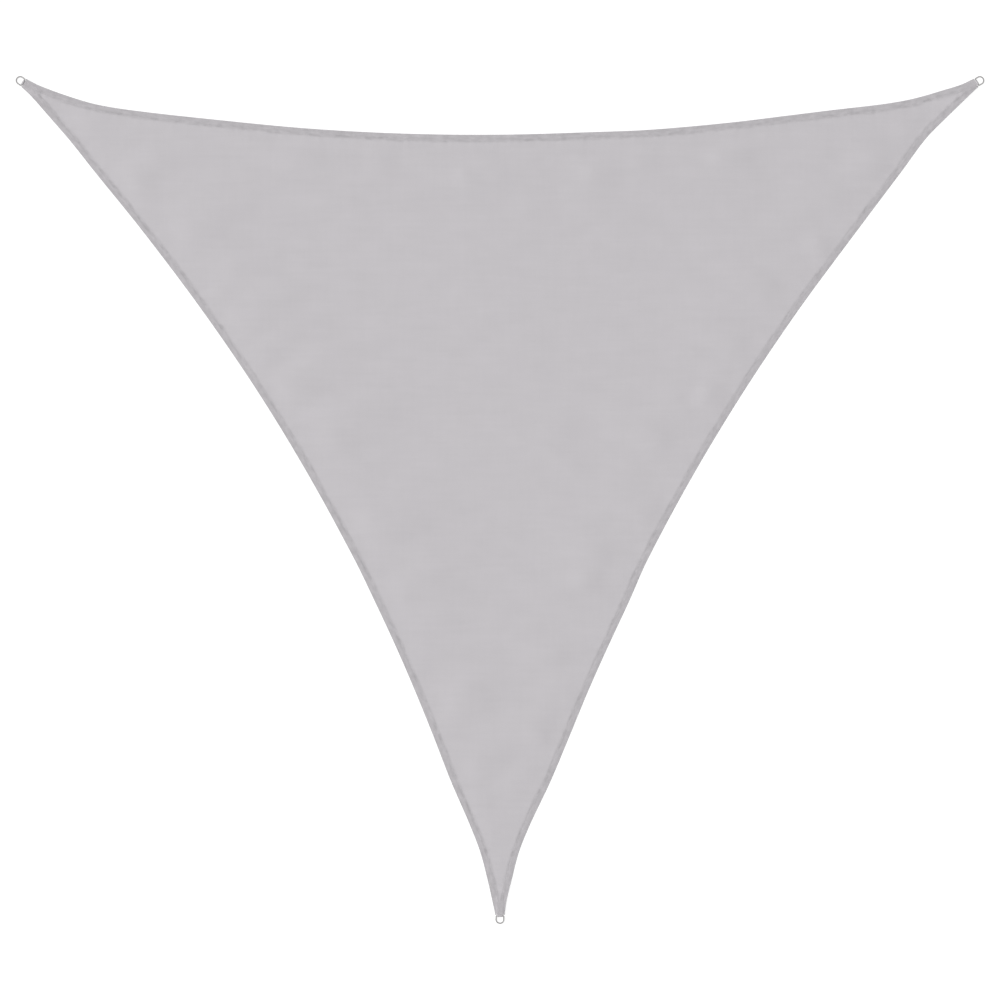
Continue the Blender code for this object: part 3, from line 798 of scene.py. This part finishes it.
streak_x = noise_at(cloth, on_cloth, (5.0, 60.0, 1.0), 3.0, 0.6)
streak_y = noise_at(cloth, on_cloth, (60.0, 5.0, 1.0), 4.0, 0.6)
cloud = noise_at(cloth, on_cloth, (9.0, 13.0, 1.0), 3.0)
strong_x, weak_y = combined(cloth, "MULTIPLY", streak_x, 1.3), combined(cloth, "MULTIPLY", streak_y, 0.7)
streaks = combined(cloth, "ADD", strong_x, weak_y)
mottling = combined(cloth, "ADD", streaks, combined(cloth, "MULTIPLY", cloud, 1.4))
mottling = tuned(cloth, mottling, 1.0, 2.4, 0.0, 1.0)
mottled = tuned(cloth, mottling, 0.0, 1.0, 1 - MOTTLING, 1 + MOTTLING)
shade = combined(cloth, "MULTIPLY", hem_light, mottled)
wire(cloth, mixed(cloth, 1.0, (*PANEL_COLOUR, 1), shade, blend_type="MULTIPLY"), cloth_shader, "Base Color")
wire(cloth, tuned(cloth, streaks, 0.7, 1.3, 0.76, 0.88), cloth_shader, "Roughness")
print("the panel is mottled by", MOTTLING)

# %% Cloth finish: the weave
YARN = 0.0011  # from one yarn to the next
WAVES = 20 / (2 * math.pi)  # bands to a metre of a wave texture of scale 1

wave = {"Vector": on_cloth, "Scale": 1 / (WAVES * YARN)}
warp, weft = (add_node(cloth, "TexWave", wave, bands_direction=way).outputs["Fac"] for way in "XY")
weave = combined(cloth, "MAXIMUM", warp, weft)
slub = tuned(cloth, mottling, 0.0, 1.0, 0.0, 1.0, "SMOOTHSTEP")
wire(cloth, relief(cloth, [(weave, 0.00012, 0.5), (slub, 0.0010, 0.25)]), cloth_shader, "Normal")
sail.data.materials.append(cloth)
print("a yarn every", 1000 * YARN, "mm")

# %% [markdown]
# ## Stitching
#
# Lockstitch shows as a row of short dashes of thread, each sunk at both ends. One stitch is modelled, from a
# small ball with few sides, and laid along the hem thousands of times at the height of the cloth there.

# %% Thread
thread, thread_shader = new_finish("thread", (0.50, 0.485, 0.50), {"Roughness": 0.55, "Sheen Weight": 0.2})
on_thread = add_node(thread, "TexCoord").outputs["Object"]
ply = noise_at(thread, on_thread, (2500, 2500, 2500))
wire(thread, tuned(thread, ply, 0.3, 0.7, 0.45, 0.65, "SMOOTHSTEP"), thread_shader, "Roughness")
wire(thread, relief(thread, [(ply, 0.0002, 0.4)]), thread_shader, "Normal")
lot = noise_at(thread, on_thread, (30, 30, 30))
wire(thread, mixed(thread, lot, (0.47, 0.455, 0.47, 1), (0.53, 0.515, 0.53, 1)), thread_shader, "Base Color")
print("finish:", thread.name)

# %% One stitch
STITCH_LENGTH, STITCH_GAP, THREAD_WIDTH, THREAD_HEIGHT = 0.0042, 0.0010, 0.00075, 0.00055

bpy.ops.mesh.primitive_uv_sphere_add(segments=6, ring_count=4, radius=0.5)
stitch = bpy.context.object
stitch.data.transform(Matrix.Rotation(math.pi / 2, 4, "Y"))
stitch_places = read_rows(stitch.data.vertices, "co") * (STITCH_LENGTH, THREAD_WIDTH, THREAD_HEIGHT)
stitch_faces = [tuple(face.vertices) for face in stitch.data.polygons]
bpy.data.objects.remove(stitch, do_unlink=True)
print("a stitch has", len(stitch_faces), "faces")

# %% Rows of stitches
THREAD_LIFT = 0.00012  # of a stitch's middle above the cloth
LOOK_AHEAD = 0.001  # to see which way the cloth runs under a stitch


def sewn_line(plan, pitch=STITCH_LENGTH + STITCH_GAP):
    """Middles and ways of stitches along a line of points in plan, at the height of the cloth."""
    run = np.concatenate([[0.0], np.cumsum(norm(np.diff(plan, axis=0), axis=1))])
    at = np.arange(pitch / 2, run[-1] - pitch / 2, pitch)

    def on_top(where):
        flat_place = np.column_stack([np.interp(where, run, plan[:, 0]), np.interp(where, run, plan[:, 1])])
        _, top = cloth_faces(flat_place, *measured(flat_place))
        return np.column_stack([flat_place, top])

    middles, ways = on_top(at), on_top(at + LOOK_AHEAD) - on_top(at - LOOK_AHEAD)
    middles[:, 2] += THREAD_LIFT
    return middles, ways


def stitched(name, sewn):
    """One piece of many stitches, from the lines that are sewn."""
    middles, ways = (np.vstack(rows) for rows in zip(*sewn))
    count, size = len(middles), len(stitch_places)
    ways /= norm(ways, axis=1, keepdims=True)
    across = np.cross((0.0, 0.0, 1.0), ways)
    across /= norm(across, axis=1, keepdims=True)
    points = np.repeat(middles[:, None, :], size, axis=1)
    for axis, direction in enumerate((ways, across, np.cross(ways, across))):
        points += stitch_places[None, :, axis, None] * direction[:, None, :]
    faces = [tuple(i + size * k for i in face) for k in range(count) for face in stitch_faces]
    mesh = bpy.data.meshes.new(name)
    mesh.from_pydata(points.reshape(-1, 3).tolist(), [], faces)
    mesh.shade_smooth()
    mesh.materials.append(thread)
    piece = bpy.data.objects.new(name, mesh)
    scene.collection.objects.link(piece)
    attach(piece, "root")
    print(name, "has", count, "stitches")
    return piece


# %% The hem's rows
SEAM_TRIMS = (0.004, 0.030)  # each row starts so far back from a square end
MIDDLE_CLEAR = 0.0030  # and keeps off the middle line of a narrow corner

for edge, line in lines.items():
    inwards = into_sail(line, np.gradient(line, axis=0))
    sewn = []
    for seam, trim in zip(SEAM_ROWS, SEAM_TRIMS):
        beside = line + inwards * seam
        kept = np.ones(len(beside), dtype=bool)
        for corner in EDGES[edge]:
            back, aside = in_corner(corner, beside)
            own_side = np.sign(in_corner(corner, line[len(line) // 2])[1])
            kept &= (back > trim) & ((aside * own_side > MIDDLE_CLEAR) | (back > NEAR_BACK))
        sewn.append(sewn_line(beside[kept]))
    stitched(f"stitches_{edge}", sewn)

# %% [markdown]
# ## The webbing tabs
#
# A tab is one short strap folded round the ring's straight bar, its two tails sewn into the corner. Its
# section is drawn first: a flat band with ribs along it and rounded selvedges. Spinning that section round
# the bar and extruding it back along the tail gives half the strap, and a mirror gives the other half.

# %% The strap's section
WEBBING_WIDTH, WEBBING_THICKNESS = 0.020, 0.0014
WIRE_RADIUS, CLEARANCE = 0.00275, 0.0003
BAR_BACK = 0.0135  # from the centre of a ring's bow back to its bar
TAIL_LENGTH = 0.060
LOOP_RADIUS = WIRE_RADIUS + CLEARANCE + WEBBING_THICKNESS / 2
TAIL_MIDDLE = CLEARANCE / 2 + WEBBING_THICKNESS / 2
RIBS, RIB_DEPTH = 11, 0.00010


def strap_section():
    """Points (across, outwards) round the strap: ribbed faces between rounded selvedges."""
    half, thick = WEBBING_WIDTH / 2, WEBBING_THICKNESS / 2
    face = np.linspace(-half + thick, half - thick, 2 * RIBS + 1)
    sunk = np.where(np.arange(2 * RIBS + 1) % 2 == 0, RIB_DEPTH, 0.0)
    rounded = [(half - thick + thick * math.cos(a), thick * math.sin(a)) for a in np.linspace(0.9, -0.9, 4)]
    points = [(x, thick - s) for x, s in zip(face, sunk)] + rounded
    return np.array(points + [(-x, -z) for x, z in points])


section = strap_section()
bpy.ops.mesh.primitive_circle_add(vertices=len(section), radius=0.01, fill_type="NOTHING")
strap = bpy.context.object
strap.name = "strap"
x, y, _ = read_rows(strap.data.vertices, "co").T
clockwise = np.argsort(-np.arctan2(y, x) % (2 * np.pi), kind="stable")  # the section's own order
places = np.zeros((len(section), 3))
places[clockwise, 0] = -BAR_BACK + LOOP_RADIUS + section[:, 1]
places[clockwise, 1] = section[:, 0]
place_vertices(strap.data, places)
print("the strap's section has", len(section), "points")

# %% Round the bar, down to the tail and back into the cloth
SLANT = math.radians(45)  # between the loop and the tail
NECK_RADIUS = 0.0020  # of the bend into the tail
TAIL_STEPS = 6

straight = LOOP_RADIUS * math.sin(SLANT) - TAIL_MIDDLE - NECK_RADIUS * (1 - math.cos(SLANT))
neck_end = -BAR_BACK - LOOP_RADIUS * math.sin(SLANT) - straight - NECK_RADIUS * math.sin(SLANT)
neck_centre = (neck_end, 0, TAIL_MIDDLE + NECK_RADIUS)
tail_run = (TAIL_LENGTH + TIP_BACK + neck_end) / TAIL_STEPS

mode("EDIT")
bpy.ops.mesh.select_mode(type="VERT")
bpy.ops.mesh.select_all(action="SELECT")
bpy.ops.mesh.spin(steps=14, angle=math.pi - SLANT, center=(-BAR_BACK, 0, 0), axis=(0, 1, 0))
draw_out(-straight, 0, -straight)
bpy.ops.mesh.spin(steps=4, angle=SLANT, center=neck_centre, axis=(0, -1, 0))
for _ in range(TAIL_STEPS):
    draw_out(-tail_run, 0)
bpy.ops.mesh.edge_face_add()
mode("OBJECT")
mirror = strap.modifiers.new("other_tail", "MIRROR")
mirror.use_axis = (False, False, True)
mirror.merge_threshold = TINY
bpy.ops.object.modifier_apply(modifier=mirror.name)
mode("EDIT")
close_up()
bpy.ops.object.shade_smooth_by_angle(angle=math.radians(50))
print("a strap measures", (1000 * np.ptp(read_rows(strap.data.vertices, "co"), axis=0)).round(2), "mm")

# %% [markdown]
# ## The rings
#
# A D-ring is one length of round wire: a straight bar, two tight bends, two short legs and a half-round bow.
# It is modelled the way it is bent. The wire's round section starts at the middle of the bar, is extruded
# along each straight and spun round each bend until it meets itself again.

# %% A ring from a round section
RING_RADIUS, RING_CORNER = 0.01425, 0.004  # of the wire's centreline
bar_half = RING_RADIUS - RING_CORNER
leg = BAR_BACK - RING_CORNER

bpy.ops.mesh.primitive_circle_add(
    vertices=20, radius=WIRE_RADIUS, fill_type="NOTHING",
    location=(-BAR_BACK, 0, 0), rotation=(math.pi / 2, 0, 0),
)
ring = bpy.context.object
ring.name = "ring"
bpy.ops.object.transform_apply(location=True, rotation=True, scale=True)


def bend_wire(x, y, degrees, steps):
    bpy.ops.mesh.spin(steps=steps, angle=math.radians(degrees), center=(x, y, 0), axis=(0, 0, 1))


mode("EDIT")
bpy.ops.mesh.select_all(action="SELECT")
draw_out(0, bar_half)
bend_wire(-leg, bar_half, 90, 8)
draw_out(leg, 0)
bend_wire(0, 0, 180, 40)
draw_out(-leg, 0)
bend_wire(-leg, -bar_half, 90, 8)
draw_out(0, bar_half)
close_up()
bpy.ops.object.shade_smooth()
print("a ring measures", (1000 * np.ptp(read_rows(ring.data.vertices, "co"), axis=0)).round(2), "mm")

# %% Finishes of strap and steel
woven = {"Roughness": 0.78, "Sheen Weight": 0.08}
webbing, webbing_shader = new_finish("webbing", (0.46, 0.445, 0.46), woven)
on_strap = add_node(webbing, "TexCoord").outputs["Object"]
pick = noise_at(webbing, on_strap, (900, 900, 900))
tint = mixed(webbing, pick, (0.40, 0.385, 0.40, 1), (0.53, 0.515, 0.53, 1))
wire(webbing, tint, webbing_shader, "Base Color")
wire(webbing, relief(webbing, [(pick, 0.0003, 0.5)]), webbing_shader, "Normal")
wire(webbing, tuned(webbing, pick, 0.3, 0.7, 0.70, 0.86, "SMOOTHSTEP"), webbing_shader, "Roughness")

steel, steel_shader = new_finish("steel", (0.70, 0.69, 0.685), {"Roughness": 0.24, "Metallic": 1.0})
on_steel = add_node(steel, "TexCoord").outputs["Object"]
polish = noise_at(steel, on_steel, (260, 260, 260), 5.0, 0.65)
wire(steel, tuned(steel, polish, 0.3, 0.72, 0.10, 0.27, "SMOOTHSTEP"), steel_shader, "Roughness")
tint = mixed(steel, noise_at(steel, on_steel, (90, 90, 90)), (0.64, 0.63, 0.625, 1), (0.76, 0.75, 0.745, 1))
wire(steel, tint, steel_shader, "Base Color")
wire(steel, relief(steel, [(polish, 0.00004, 0.6)]), steel_shader, "Normal")
print("finishes:", webbing.name, "and", steel.name)

# %% One strap and one ring at each corner
RING_TILT = math.asin((BAR_HEIGHT - WIRE_RADIUS) / (BAR_BACK + RING_RADIUS))  # its bow lies on the floor


def placed(model, name, finish, turn, node):
    """A copy of a model with its place in its mesh, in place of a node of the frame."""
    piece = bpy.data.objects.new(name, model.data.copy())
    piece.data.transform(turn)
    piece.data.materials.clear()
    piece.data.materials.append(finish)
    scene.collection.objects.link(piece)
    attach(piece, "root")
    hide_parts(node)


for corner in CORNERS:
    centre, outwards, _ = corner_frame(corner)
    way = Matrix.Rotation(math.atan2(outwards[1], outwards[0]), 4, "Z")
    to_corner = Matrix.Translation((*centre, BAR_HEIGHT)) @ way
    about_bar = Matrix.Translation((-BAR_BACK, 0, 0)) @ Matrix.Rotation(RING_TILT, 4, "Y")
    tilted = to_corner @ about_bar @ Matrix.Translation((BAR_BACK, 0, 0))
    placed(strap, f"strap_{corner}", webbing, to_corner, f"tab_{corner}")
    placed(ring, f"wire_{corner}", steel, tilted, f"ring_{corner}")
    print("strap and ring at the", corner, "corner")
for model in (strap, ring):
    bpy.data.objects.remove(model, do_unlink=True)

# %% [markdown]
# ## Sewing the tabs in
#
# The cloth over each tab is sewn through with a box of stitches and a cross in it, which spreads the pull of
# the ring over all layers.

# %% Box and cross
BOX_CORNERS = ((0.006, -0.0078), (0.054, -0.0078), (0.054, 0.0078), (0.006, 0.0078))  # back and aside
BOX_RUNS = ((0, 1), (1, 2), (2, 3), (3, 0), (0, 2), (1, 3))  # four sides, then the cross

for corner in CORNERS:
    box = [tip_point(corner, back, aside) for back, aside in BOX_CORNERS]
    sewn = [sewn_line(np.linspace(box[start], box[end], 40)) for start, end in BOX_RUNS]
    stitched(f"box_stitch_{corner}", sewn)

# %% [markdown]
# ## The cloth on the frame's body
#
# The cloth rides on the frame's only body and stands for its solid sail. Its flat size is what a sailmaker
# would cut: the finished triangle with 40 mm more along each edge for the turned hem.

# %% The cloth on its body, and its flat size
HEM_ALLOWANCE = 0.040
span, reach = np.ptp(outline, axis=0) + 2 * HEM_ALLOWANCE
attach(sail, "root")
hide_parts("sail")

# %% The end
bpy.context.view_layer.update()
